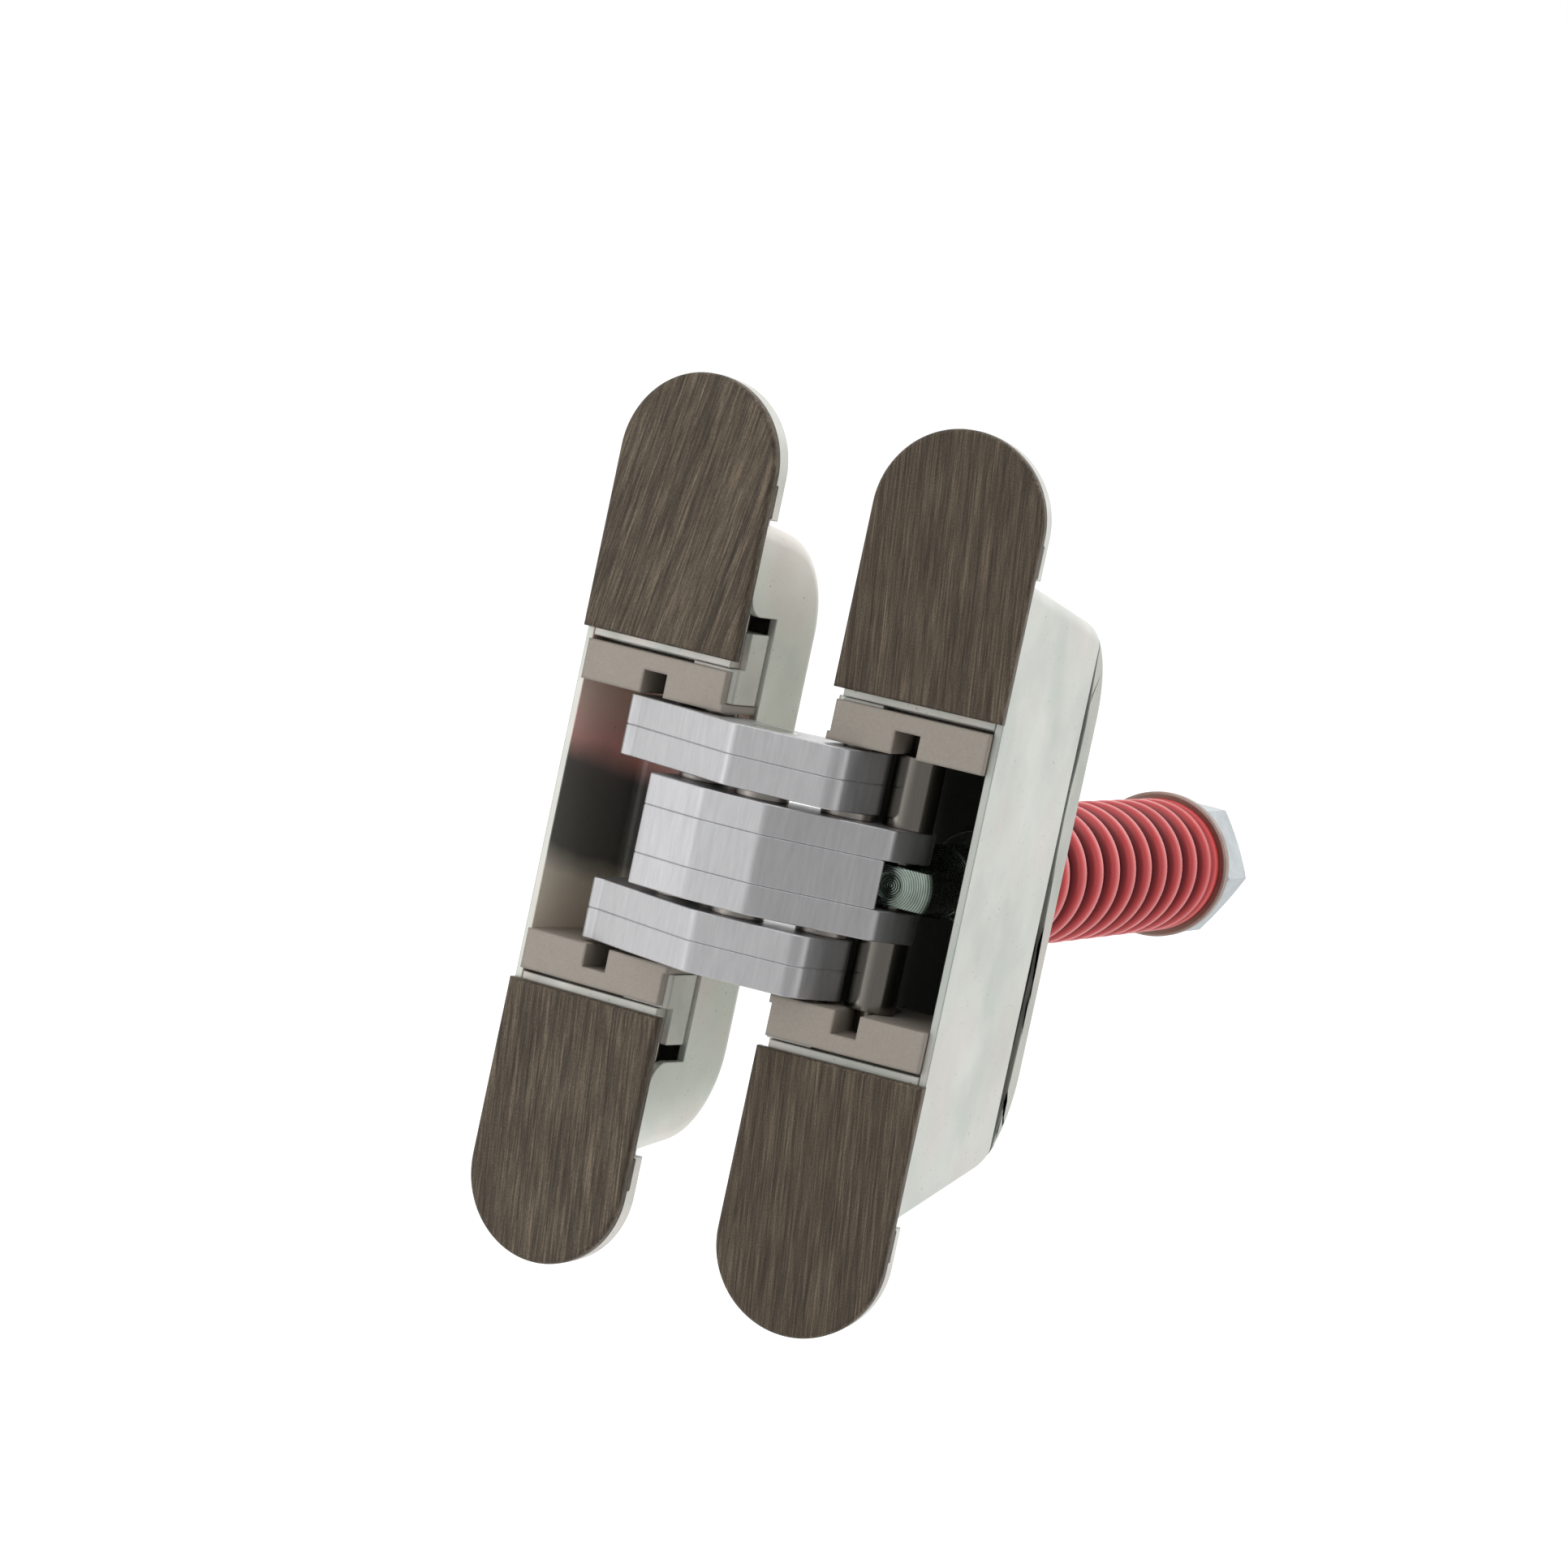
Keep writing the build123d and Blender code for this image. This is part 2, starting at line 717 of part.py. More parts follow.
sheet = middle_sheet()
save("middle_arm_sheet_upper", on_frame_unit(sheet))
save("middle_arm_sheet_lower", on_frame_unit(flipped(sheet)))
save("middle_arm_core", on_frame_unit(middle_core()))
save("spring_slide_pin", on_frame_unit(spring_slide_pin()))
save("slide_sleeve_upper", on_frame_unit(slide_sleeve()))
save("slide_sleeve_lower", on_frame_unit(flipped(slide_sleeve())))

save("pull_rod", pull_rod())
save("closing_spring", closing_spring())
save("spring_washer", spring_washer())
save("rod_nut", rod_nut())
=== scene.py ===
import bpy
import bmesh
import json
import math
from mathutils import Matrix, Vector


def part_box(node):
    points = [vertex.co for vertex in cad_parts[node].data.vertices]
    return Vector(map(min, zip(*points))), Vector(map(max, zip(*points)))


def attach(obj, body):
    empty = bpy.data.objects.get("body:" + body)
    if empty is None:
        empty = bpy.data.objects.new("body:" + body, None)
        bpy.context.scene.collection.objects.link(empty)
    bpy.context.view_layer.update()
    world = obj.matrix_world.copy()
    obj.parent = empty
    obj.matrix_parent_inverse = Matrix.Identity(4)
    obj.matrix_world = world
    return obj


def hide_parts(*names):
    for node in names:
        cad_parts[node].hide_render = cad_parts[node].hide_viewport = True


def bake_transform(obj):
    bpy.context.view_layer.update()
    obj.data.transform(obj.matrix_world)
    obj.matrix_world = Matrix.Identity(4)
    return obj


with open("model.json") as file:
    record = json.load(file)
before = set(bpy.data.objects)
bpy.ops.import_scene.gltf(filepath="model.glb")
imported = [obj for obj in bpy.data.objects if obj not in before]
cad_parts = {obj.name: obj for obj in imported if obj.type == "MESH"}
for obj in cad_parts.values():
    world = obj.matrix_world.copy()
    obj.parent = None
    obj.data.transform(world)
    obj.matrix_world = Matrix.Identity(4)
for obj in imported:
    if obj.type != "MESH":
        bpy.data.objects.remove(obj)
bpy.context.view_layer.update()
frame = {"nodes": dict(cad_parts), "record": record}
nodes = frame["nodes"]
mm = 0.001


def addNode(tree, kind, **settings):
    node = tree.nodes.new(kind)
    for name, value in settings.items():
        setattr(node, name, value)
    return node


def feed(tree, socket, value):
    # a socket takes either another node's output or a fixed value
    if isinstance(value, bpy.types.NodeSocket):
        tree.links.new(value, socket)
    else:
        socket.default_value = value


def addMath(tree, operation, first, second, clamp=False):
    node = addNode(tree, "ShaderNodeMath", operation=operation, use_clamp=clamp)
    feed(tree, node.inputs[0], first)
    feed(tree, node.inputs[1], second)
    return node.outputs[0]


def addVectorMath(tree, operation, first, second=(0.0, 0.0, 0.0)):
    node = addNode(tree, "ShaderNodeVectorMath", operation=operation)
    feed(tree, node.inputs[0], first)
    feed(tree, node.inputs[1], second)
    givesNumber = operation in ("DOT_PRODUCT", "LENGTH")
    return node.outputs["Value" if givesNumber else "Vector"]


def addNoise(tree, place, scale, detail, roughness=0.5):
    node = addNode(tree, "ShaderNodeTexNoise")
    feed(tree, node.inputs["Vector"], place)
    feed(tree, node.inputs["Scale"], scale)
    feed(tree, node.inputs["Detail"], detail)
    feed(tree, node.inputs["Roughness"], roughness)
    return node.outputs[0]


def placeOnPiece(tree):
    return addNode(tree, "ShaderNodeTexCoord").outputs["Object"]


def addRamp(tree, factor, stops):
    ramp = addNode(tree, "ShaderNodeValToRGB")
    elements = ramp.color_ramp.elements
    while len(elements) < len(stops):
        elements.new(0.5)
    for element, (position, colour) in zip(elements, stops):
        element.position = position
        element.color = (*colour, 1)
    tree.links.new(factor, ramp.inputs[0])
    return ramp.outputs[0]


def greys(*stops):
    return [(position, (level,) * 3) for position, level in stops]


def mixColours(tree, factor, first, second, blend="MIX"):
    node = addNode(tree, "ShaderNodeMix", data_type="RGBA", blend_type=blend)
    feed(tree, node.inputs[0], factor)
    for socket, value in ((node.inputs[6], first), (node.inputs[7], second)):
        feed(tree, socket, (*value, 1) if isinstance(value, tuple) else value)
    return node.outputs[2]


def multiplyColours(tree, first, second):
    return mixColours(tree, 1.0, first, second, "MULTIPLY")


def newGroup(name, inputs, outputs):
    group = bpy.data.node_groups.new(name, "ShaderNodeTree")
    for label, value in inputs.items():
        kind = "NodeSocketVector" if isinstance(value, tuple) else "NodeSocketFloat"
        socket = group.interface.new_socket(label, in_out="INPUT", socket_type=kind)
        socket.default_value = value
    for label, kind in outputs.items():
        group.interface.new_socket(label, in_out="OUTPUT", socket_type=kind)
    given = group.nodes.new("NodeGroupInput").outputs
    put = group.nodes.new("NodeGroupOutput").inputs
    return group, given, put


def useGroup(tree, group, **values):
    node = addNode(tree, "ShaderNodeGroup", node_tree=group)
    for label, value in values.items():
        feed(tree, node.inputs[label], value)
    return node.outputs


# effects that several finishes share
grainLook = {
    "usual": {"stretch": (900.0, 900.0, 14.0), "tilt": (0.0, 0.0, 0.0), "detail": 6.0},
    "fineScale": 7.0,
    "fineRoughness": 0.7,
    "broadScale": 1.6,
    "broadDetail": 3.0,
}


def makeGrainGroup():
    # straight scratches, long along the brushing and short across it
    group, given, put = newGroup(
        "brushedGrain",
        grainLook["usual"],
        {"grain": "NodeSocketFloat", "streak": "NodeSocketFloat"},
    )
    turn = addNode(group, "ShaderNodeMapping")
    group.links.new(placeOnPiece(group), turn.inputs["Vector"])
    group.links.new(given["tilt"], turn.inputs["Rotation"])
    drawn = addVectorMath(group, "MULTIPLY", turn.outputs[0], given["stretch"])
    look = grainLook
    fine = addNoise(group, drawn, look["fineScale"], given["detail"], look["fineRoughness"])
    broad = addNoise(group, drawn, look["broadScale"], look["broadDetail"])
    group.links.new(fine, put["grain"])
    group.links.new(broad, put["streak"])
    return group


patinaLook = {
    "usual": {"blotch": 90.0, "speckle": 2600.0},
    "cloudDetail": 5.0,
    "hueDetail": 2.0,
    "speckDetail": 2.0,
    "hueShift": (4.7, 4.7, 4.7),
}


def makePatinaGroup():
    # cloudy blotches with a fine speckle, as on dipped zinc
    group, given, put = newGroup(
        "zincPatina",
        patinaLook["usual"],
        {"cloud": "NodeSocketFloat", "hue": "NodeSocketFloat", "speck": "NodeSocketFloat"},
    )
    place = placeOnPiece(group)
    shifted = addVectorMath(group, "ADD", place, patinaLook["hueShift"])
    cloud = addNoise(group, place, given["blotch"], patinaLook["cloudDetail"])
    hue = addNoise(group, shifted, given["blotch"], patinaLook["hueDetail"])
    speck = addNoise(group, place, given["speckle"], patinaLook["speckDetail"])
    group.links.new(cloud, put["cloud"])
    group.links.new(hue, put["hue"])
    group.links.new(speck, put["speck"])
    return group


edgeLook = {
    "usual": {"radius": 0.3 * mm, "reach": 8.0},
    "samples": 4,
}


def makeEdgeGroup():
    # a normal that rounds the edges, and a mask where it departs from the surface's own
    group, given, put = newGroup(
        "edgeWear",
        edgeLook["usual"],
        {"edge": "NodeSocketFloat", "normal": "NodeSocketVector"},
    )
    soft = addNode(group, "ShaderNodeBevel", samples=edgeLook["samples"])
    group.links.new(given["radius"], soft.inputs["Radius"])
    surface = addNode(group, "ShaderNodeNewGeometry")
    match = addVectorMath(group, "DOT_PRODUCT", soft.outputs[0], surface.outputs["Normal"])
    away = addMath(group, "SUBTRACT", 1.0, match)
    edge = addMath(group, "MULTIPLY", away, given["reach"], clamp=True)
    group.links.new(edge, put["edge"])
    group.links.new(soft.outputs[0], put["normal"])
    return group


grainGroup = makeGrainGroup()
patinaGroup = makePatinaGroup()
edgeGroup = makeEdgeGroup()
print("shared effects ready")


bumpDepth = 0.1 * mm
usualSpread = (0.3, 0.7)


def startMaterial(name, settings):
    material = bpy.data.materials.new(name)
    material.use_nodes = True
    tree = material.node_tree
    shader = tree.nodes["Principled BSDF"]
    for label, value in settings.items():
        shader.inputs[label].default_value = value
    return material, tree, shader


def addRoughness(tree, factor, gloss, spread=usualSpread):
    # gloss holds the least and the most roughness
    least, most = gloss
    start, end = spread
    return addRamp(tree, factor, greys((start, most), (end, least)))


def finishSurface(tree, shader, colour, roughness, height, normal, relief):
    tree.links.new(colour, shader.inputs["Base Color"])
    tree.links.new(roughness, shader.inputs["Roughness"])
    bump = addNode(tree, "ShaderNodeBump")
    bump.inputs["Strength"].default_value = relief
    bump.inputs["Distance"].default_value = bumpDepth
    tree.links.new(height, bump.inputs["Height"])
    if normal is not None:
        tree.links.new(normal, bump.inputs["Normal"])
    tree.links.new(bump.outputs[0], shader.inputs["Normal"])


capFinish = {
    "dark": (0.042, 0.031, 0.021),
    "middle": (0.096, 0.073, 0.050),
    "light": (0.210, 0.163, 0.114),
    "grainStops": (0.33, 0.50, 0.68),
    "edge": (0.026, 0.022, 0.018),
    "edgeRadius": 0.4 * mm,
    "edgeReach": 5.0,
    "metal": 0.45,
    "gloss": (0.40, 0.56),
    "glossSpread": (0.25, 0.75),
    "relief": 0.30,
    "stretch": (560.0, 560.0, 15.0),
    "bands": ((0.35, 0.72), (0.65, 1.16)),
    "speckle": 4200.0,
    "specks": ((0.35, 0.80), (0.65, 1.16)),
    "usualSlant": 6.0,  # degrees, of the brushing against the leaf
    "slants": {"frame_unit_cap_top": -9.0},
}


def makeCapMaterial(name, slant):
    look = capFinish
    material, tree, shader = startMaterial(name, {"Metallic": look["metal"]})
    tilt = (0.0, math.radians(slant), 0.0)
    grain = useGroup(tree, grainGroup, stretch=look["stretch"], tilt=tilt)
    patina = useGroup(tree, patinaGroup, speckle=look["speckle"])
    edge = useGroup(tree, edgeGroup, radius=look["edgeRadius"], reach=look["edgeReach"])
    browns = (look["dark"], look["middle"], look["light"])
    colour = addRamp(tree, grain["grain"], list(zip(look["grainStops"], browns)))
    bands = addRamp(tree, grain["streak"], greys(*look["bands"]))
    specks = addRamp(tree, patina["speck"], greys(*look["specks"]))
    colour = multiplyColours(tree, colour, bands)
    colour = multiplyColours(tree, colour, specks)
    colour = mixColours(tree, edge["edge"], colour, look["edge"])
    rough = addRoughness(tree, grain["grain"], look["gloss"], look["glossSpread"])
    finishSurface(tree, shader, colour, rough, grain["grain"], edge["normal"], look["relief"])
    return material


zincLook = {
    "speckle": 2200.0,
    "hueStops": (0.38, 0.50, 0.64),
    "clouds": ((0.3, 0.90), (0.7, 1.0)),
    "specks": ((0.22, 0.45), (0.31, 1.0)),
    "edge": (0.16, 0.165, 0.15),
    "edgeRadius": 0.3 * mm,
    "edgeReach": 5.0,
    "relief": 0.12,
}

zincFinishes = {
    "springCase": {
        "cool": (0.605, 0.640, 0.590),
        "pale": (0.665, 0.685, 0.635),
        "warm": (0.675, 0.665, 0.620),
        "metal": 0.75,
        "gloss": (0.36, 0.50),
        "blotch": 70.0,
    },
    "backCover": {
        "cool": (0.500, 0.520, 0.475),
        "pale": (0.545, 0.550, 0.500),
        "warm": (0.560, 0.540, 0.490),
        "metal": 0.75,
        "gloss": (0.36, 0.50),
        "blotch": 70.0,
    },
    # paler than the spring case's zinc: painted light, making up for the shade the spring unit
    # casts on this case's flank
    "frameCaseLightened": {
        "cool": (0.74, 0.77, 0.71),
        "pale": (0.80, 0.81, 0.75),
        "warm": (0.81, 0.77, 0.72),
        "metal": 0.7,
        "gloss": (0.36, 0.50),
        "blotch": 70.0,
    },
    "cast": {
        "cool": (0.65, 0.665, 0.61),
        "pale": (0.70, 0.70, 0.65),
        "warm": (0.71, 0.68, 0.63),
        "metal": 0.6,
        "gloss": (0.34, 0.50),
        "blotch": 160.0,
    },
}

# the room inside each case, measured from the leaf's face, and the painted reflection and shade on
# its inside walls, from bottom to top
roomPaintedShadeAndReflection = {
    "frame_unit": {
        "halfWidth": 10.9 * mm,
        "halfHeight": 26.0 * mm,
        "front": 0.5 * mm,
        "back": 22.1 * mm,
        "rim": 1.7 * mm,
        "span": 60.0 * mm,
        "lean": 0.15,
        "wobble": 0.06,
        # painted reflection: beige low, a dark band in the middle where the arms' backs are
        # mirrored, pink high
        "paintedZones": [
            (0.30, (0.95, 0.86, 0.72)),
            (0.36, (0.90, 0.83, 0.70)),
            (0.42, (0.20, 0.20, 0.18)),
            (0.60, (0.18, 0.18, 0.165)),
            (0.66, (0.95, 0.55, 0.50)),
            (0.76, (0.95, 0.74, 0.64)),
        ],
        "metal": 0.15,
        "roughness": 0.30,
    },
    "spring_unit": {
        "halfWidth": 10.9 * mm,
        "halfHeight": 22.0 * mm,
        "front": 1.6 * mm,
        "back": 44.5 * mm,
        "rim": 1.7 * mm,
        "span": 60.0 * mm,
        "lean": 0.15,
        "wobble": 0.20,
        # painted shade: the inside darkened nearly to black
        "paintedZones": [
            (0.30, (0.10, 0.10, 0.09)),
            (0.70, (0.16, 0.16, 0.14)),
        ],
        "metal": 0.6,
        "roughness": 0.30,
    },
}


def placeInRoom(tree, unit):
    # how far across the leaf, how deep behind its face and how high a point lies
    mount = next(m for m in frame["record"]["mounts"] if m["name"] == unit + "_face")
    outward = Vector(mount["axis"])
    local = addVectorMath(tree, "SUBTRACT", placeOnPiece(tree), mount["pos_m"])
    axes = ((-outward.y, outward.x, 0.0), -outward, (0.0, 0.0, 1.0))
    return [addVectorMath(tree, "DOT_PRODUCT", local, axis) for axis in axes]


def insideRoom(tree, room, across, deep, height):
    # a box with rounded rims, that runs through the middle of the case's walls
    middle = (room["front"] + room["back"]) / 2
    half = (room["halfWidth"], room["back"] - middle, room["halfHeight"])
    spot = addNode(tree, "ShaderNodeCombineXYZ")
    feed(tree, spot.inputs[0], across)
    feed(tree, spot.inputs[1], addMath(tree, "SUBTRACT", deep, middle))
    feed(tree, spot.inputs[2], height)
    apart = addVectorMath(tree, "ABSOLUTE", spot.outputs[0])
    past = addVectorMath(tree, "SUBTRACT", apart, [side - room["rim"] for side in half])
    past = addVectorMath(tree, "MAXIMUM", past)
    return addMath(tree, "LESS_THAN", addVectorMath(tree, "LENGTH", past), room["rim"])


# paints reflection and shade on the room's inside walls, in bands by height that lean with depth
def paintRoomShadeAndReflection(tree, room, deep, height, wave):
    lean = addMath(tree, "MULTIPLY", deep, room["lean"])
    level = addMath(tree, "DIVIDE", addMath(tree, "ADD", height, lean), room["span"])
    level = addMath(tree, "ADD", level, 0.5)
    sway = addMath(tree, "MULTIPLY", addMath(tree, "SUBTRACT", wave, 0.5), room["wobble"])
    return addRamp(tree, addMath(tree, "ADD", level, sway), room["paintedZones"])


def makeZincMaterial(name, finish, unit=None):
    look = zincLook
    material, tree, shader = startMaterial(name, {"Metallic": finish["metal"]})
    patina = useGroup(tree, patinaGroup, blotch=finish["blotch"], speckle=look["speckle"])
    edge = useGroup(tree, edgeGroup, radius=look["edgeRadius"], reach=look["edgeReach"])
    hues = (finish["cool"], finish["pale"], finish["warm"])
    colour = addRamp(tree, patina["hue"], list(zip(look["hueStops"], hues)))
    clouds = addRamp(tree, patina["cloud"], greys(*look["clouds"]))
    specks = addRamp(tree, patina["speck"], greys(*look["specks"]))
    colour = multiplyColours(tree, colour, clouds)
    rough = addRoughness(tree, patina["cloud"], finish["gloss"])
    # inside the room the zinc's colour gives way to painted reflection and shade
    if unit is not None:
        room = roomPaintedShadeAndReflection[unit]
        across, deep, height = placeInRoom(tree, unit)
        inside = insideRoom(tree, room, across, deep, height)
        paintedRoomLight = paintRoomShadeAndReflection(tree, room, deep, height, patina["hue"])
        colour = mixColours(tree, inside, colour, paintedRoomLight)
        rough = mixColours(tree, inside, rough, (room["roughness"],) * 3)
        metal = mixColours(tree, inside, (finish["metal"],) * 3, (room["metal"],) * 3)
        tree.links.new(metal, shader.inputs["Metallic"])
    colour = multiplyColours(tree, colour, specks)
    worn = addMath(tree, "MULTIPLY", edge["edge"], patina["cloud"], clamp=True)
    colour = mixColours(tree, worn, colour, look["edge"])
    finishSurface(tree, shader, colour, rough, patina["speck"], edge["normal"], look["relief"])
    return material


# metals with an even grain; soften is the radius that the light sees on their edges
metalFinishes = {
    "armSatin": {
        "dark": (0.50, 0.50, 0.51),
        "base": (0.60, 0.60, 0.61),
        "metal": 0.9,
        "gloss": (0.34, 0.44),
        "stretch": (260.0, 260.0, 30.0),
        "detail": 8.0,
        "soften": 0.18 * mm,
    },
    "guideSinter": {
        "base": (0.405, 0.36, 0.31),
        "metal": 0.25,
        "gloss": (0.42, 0.55),
        "stretch": (500.0, 500.0, 500.0),
        "soften": 0.7 * mm,
    },
    "pinSteel": {
        "base": (0.24, 0.225, 0.20),
        "metal": 1.0,
        "gloss": (0.10, 0.16),
        "stretch": (700.0, 700.0, 12.0),
    },
    "washerMetal": {
        "base": (0.50, 0.46, 0.42),
        "metal": 1.0,
        "gloss": (0.30, 0.40),
        "stretch": (400.0, 400.0, 400.0),
    },
    "screwZinc": {
        "base": (0.45, 0.45, 0.44),
        "metal": 1.0,
        "gloss": (0.25, 0.35),
        "stretch": (400.0, 400.0, 400.0),
    },
    # reddish brown: a painted reflection of the red spring beside it
    "washerPaintedSpringReflection": {
        "base": (0.30, 0.21, 0.18),
        "metal": 1.0,
        "gloss": (0.28, 0.40),
        "stretch": (300.0, 300.0, 300.0),
    },
    "nutZinc": {
        "base": (0.53, 0.57, 0.59),
        "metal": 0.9,
        "gloss": (0.35, 0.50),
        "stretch": (200.0, 200.0, 200.0),
    },
    "bushSteel": {
        "base": (0.52, 0.52, 0.51),
        "metal": 1.0,
        "gloss": (0.25, 0.35),
        "stretch": (400.0, 40.0, 400.0),
    },
}

metalLook = {
    "darker": 0.14,
    "detail": 4.0,
    "soften": 0.25 * mm,
    "edgeReach": 4.0,
    "relief": 0.10,
}


def makeMetal(name, finish):
    material, tree, shader = startMaterial(name, {"Metallic": finish["metal"]})
    detail = finish.get("detail", metalLook["detail"])
    grain = useGroup(tree, grainGroup, stretch=finish["stretch"], detail=detail)
    soften = finish.get("soften", metalLook["soften"])
    edge = useGroup(tree, edgeGroup, radius=soften, reach=metalLook["edgeReach"])
    base = finish["base"]
    dark = finish.get("dark", tuple(channel * (1 - metalLook["darker"]) for channel in base))
    start, end = usualSpread
    colour = addRamp(tree, grain["grain"], [(start, dark), (end, base)])
    rough = addRoughness(tree, grain["streak"], finish["gloss"])
    finishSurface(tree, shader, colour, rough, grain["grain"], edge["normal"], metalLook["relief"])
    return material


rodFinish = {
    "groove": (0.20, 0.245, 0.21),
    "ridge": (0.46, 0.55, 0.48),
    "ringStops": (0.2, 0.8),
    "ringGap": 0.32 * mm,
    "wander": 1.2,
    "wanderScale": 0.4,
    "blotch": 260.0,
    "clouds": ((0.35, 0.6), (0.65, 1.1)),
    "speckle": 2600.0,
    "gloss": (0.18, 0.32),
    "soften": 0.4 * mm,
    "edgeReach": 4.0,
    "relief": 0.25,
}


def makeRodMaterial():
    # turned steel: fine rings about the rod's own line
    look = rodFinish
    material, tree, shader = startMaterial("rodZinc", {"Metallic": 1.0})
    rings = addNode(tree, "ShaderNodeTexWave", wave_type="RINGS", rings_direction="Y")
    # the node draws a ring at each full turn of 20 times its scale
    rings.inputs["Scale"].default_value = math.tau / (20 * look["ringGap"])
    rings.inputs["Distortion"].default_value = look["wander"]
    rings.inputs["Detail Scale"].default_value = look["wanderScale"]
    tree.links.new(placeOnPiece(tree), rings.inputs["Vector"])
    ring = rings.outputs[1]
    patina = useGroup(tree, patinaGroup, blotch=look["blotch"], speckle=look["speckle"])
    edge = useGroup(tree, edgeGroup, radius=look["soften"], reach=look["edgeReach"])
    colour = addRamp(tree, ring, list(zip(look["ringStops"], (look["groove"], look["ridge"]))))
    clouds = addRamp(tree, patina["cloud"], greys(*look["clouds"]))
    colour = multiplyColours(tree, colour, clouds)
    rough = addRoughness(tree, patina["speck"], look["gloss"])
    finishSurface(tree, shader, colour, rough, ring, edge["normal"], look["relief"])
    return material


springFinish = {
    # painted shade, darkest deep between the turns and lightest on the wire's outside
    "depths": [
        (0.0, (0.085, 0.000, 0.003)),
        (0.45, (0.230, 0.003, 0.006)),
        (0.85, (0.500, 0.016, 0.020)),
        (1.0, (0.660, 0.040, 0.044)),
    ],
    "deep": 8.4 * mm,
    "outside": 9.95 * mm,
    "blotch": 160.0,
    "clouds": ((0.3, 0.88), (0.7, 1.0)),
    "gloss": (0.26, 0.36),
    "coat": 0.06,
    "coatRoughness": 0.18,
    "relief": 0.02,
}


def makeSpringMaterial():
    # red lacquer, with painted shade that darkens it down between the turns
    look = springFinish
    material, tree, shader = startMaterial("springLacquerPaintedShade", {
        "Metallic": 0.0,
        "Coat Weight": look["coat"],
        "Coat Roughness": look["coatRoughness"],
    })
    flat = addVectorMath(tree, "MULTIPLY", placeOnPiece(tree), (1.0, 0.0, 1.0))
    share = addNode(tree, "ShaderNodeMapRange")
    share.inputs["From Min"].default_value = look["deep"]
    share.inputs["From Max"].default_value = look["outside"]
    tree.links.new(addVectorMath(tree, "LENGTH", flat), share.inputs["Value"])
    colour = addRamp(tree, share.outputs[0], look["depths"])
    patina = useGroup(tree, patinaGroup, blotch=look["blotch"])
    clouds = addRamp(tree, patina["cloud"], greys(*look["clouds"]))
    colour = multiplyColours(tree, colour, clouds)
    rough = addRoughness(tree, patina["cloud"], look["gloss"])
    finishSurface(tree, shader, colour, rough, patina["cloud"], None, look["relief"])
    return material


capBronze = makeCapMaterial("capBronze", capFinish["usualSlant"])
castZinc = makeZincMaterial("castZinc", zincFinishes["cast"])
rodZinc = makeRodMaterial()
springLacquerPaintedShade = makeSpringMaterial()
metals = {name: makeMetal(name, finish) for name, finish in metalFinishes.items()}

# pieces with a finish of their own
ownFinish = {
    "spring_washer": metals["washerPaintedSpringReflection"],
    "pull_rod": rodZinc,
    "rod_nut": metals["nutZinc"],
    "closing_spring": springLacquerPaintedShade,
}
for name, slant in capFinish["slants"].items():
    ownFinish[name] = makeCapMaterial("capBronzeSlanted", slant)
# the cases' zinc, with painted reflection and shade in the rooms inside them
for name, material, finish, unit in (
    ("frame_unit_case", "frameCaseZincPaintedLight", "frameCaseLightened", "frame_unit"),
    ("spring_unit_case", "springCaseZincPaintedShade", "springCase", "spring_unit"),
    ("spring_unit_back_cover", "backCoverZincPaintedShade", "backCover", "spring_unit"),
):
    ownFinish[name] = makeZincMaterial(material, zincFinishes[finish], unit)

# the other pieces' finishes, by the first word here that a name holds; the arms hold none
finishByWord = {
    "_cap_": capBronze,
    "_plate_": castZinc,
    "_carrier_": castZinc,
    "guide_block": metals["guideSinter"],
    "washer": metals["washerMetal"],
    "screws": metals["screwZinc"],
    "bush": metals["bushSteel"],
    "pin": metals["pinSteel"],
    "sleeve": metals["pinSteel"],
}
print("finishes ready")


def finishFor(name):
    if name in ownFinish:
        return ownFinish[name]
    for word, finish in finishByWord.items():
        if word in name:
            return finish
    return metals["armSatin"]


for name, piece in nodes.items():
    piece.data.materials.clear()
    piece.data.materials.append(finishFor(name))
print("finishes placed on", len(nodes), "pieces")


def linkNew(name, mesh, material, smooth):
    data = bpy.data.meshes.new(name)
    mesh.to_mesh(data)
    mesh.free()
    if smooth:
        data.shade_smooth()
    else:
        data.shade_flat()
    data.materials.append(material)
    piece = bpy.data.objects.new(name, data)
    bpy.context.scene.collection.objects.link(piece)
    return piece


def joinRings(mesh, rings, closed):
    # a band of faces between each ring of vertices and the next
    following = rings[1:] + rings[:1] if closed else rings[1:]
    for first, second in zip(rings, following):
        size = len(first)
        for step in range(size):
            after = (step + 1) % size
            mesh.faces.new((first[step], first[after], second[after], second[step]))


# closing spring, wound with rounded wire and closed, ground ends
springShape = {
    "pitch": 8.3 * mm,
    "closedPitch": 4.3 * mm,
    "closedTurns": 1.75,
    "groundAway": 2.0 * mm,
    "wireWidth": 4.5 * mm,
    "wireHeight": 4.3 * mm,
    "corner": 1.75 * mm,
    "cornerSteps": 6,
    "stepsPerTurn": 72,
    "tipTurn": 0.29,
    "insideSolid": 0.005 * mm,  # how far it stays inside the plain solid
    "mergeWithin": 0.002 * mm,
}


def wireSection():
    corner = springShape["corner"]
    steps = springShape["cornerSteps"]
    farX = springShape["wireWidth"] / 2 - corner
    farY = springShape["wireHeight"] / 2 - corner
    points = []
    for quarter in range(4):
        signX = 1 if quarter in (0, 3) else -1
        signY = 1 if quarter in (0, 1) else -1
        for step in range(steps):
            angle = math.radians(90 * quarter + 90 * step / (steps - 1))
            x = signX * farX + corner * math.cos(angle)
            y = signY * farY + corner * math.sin(angle)
            points.append((x, y))
    return points


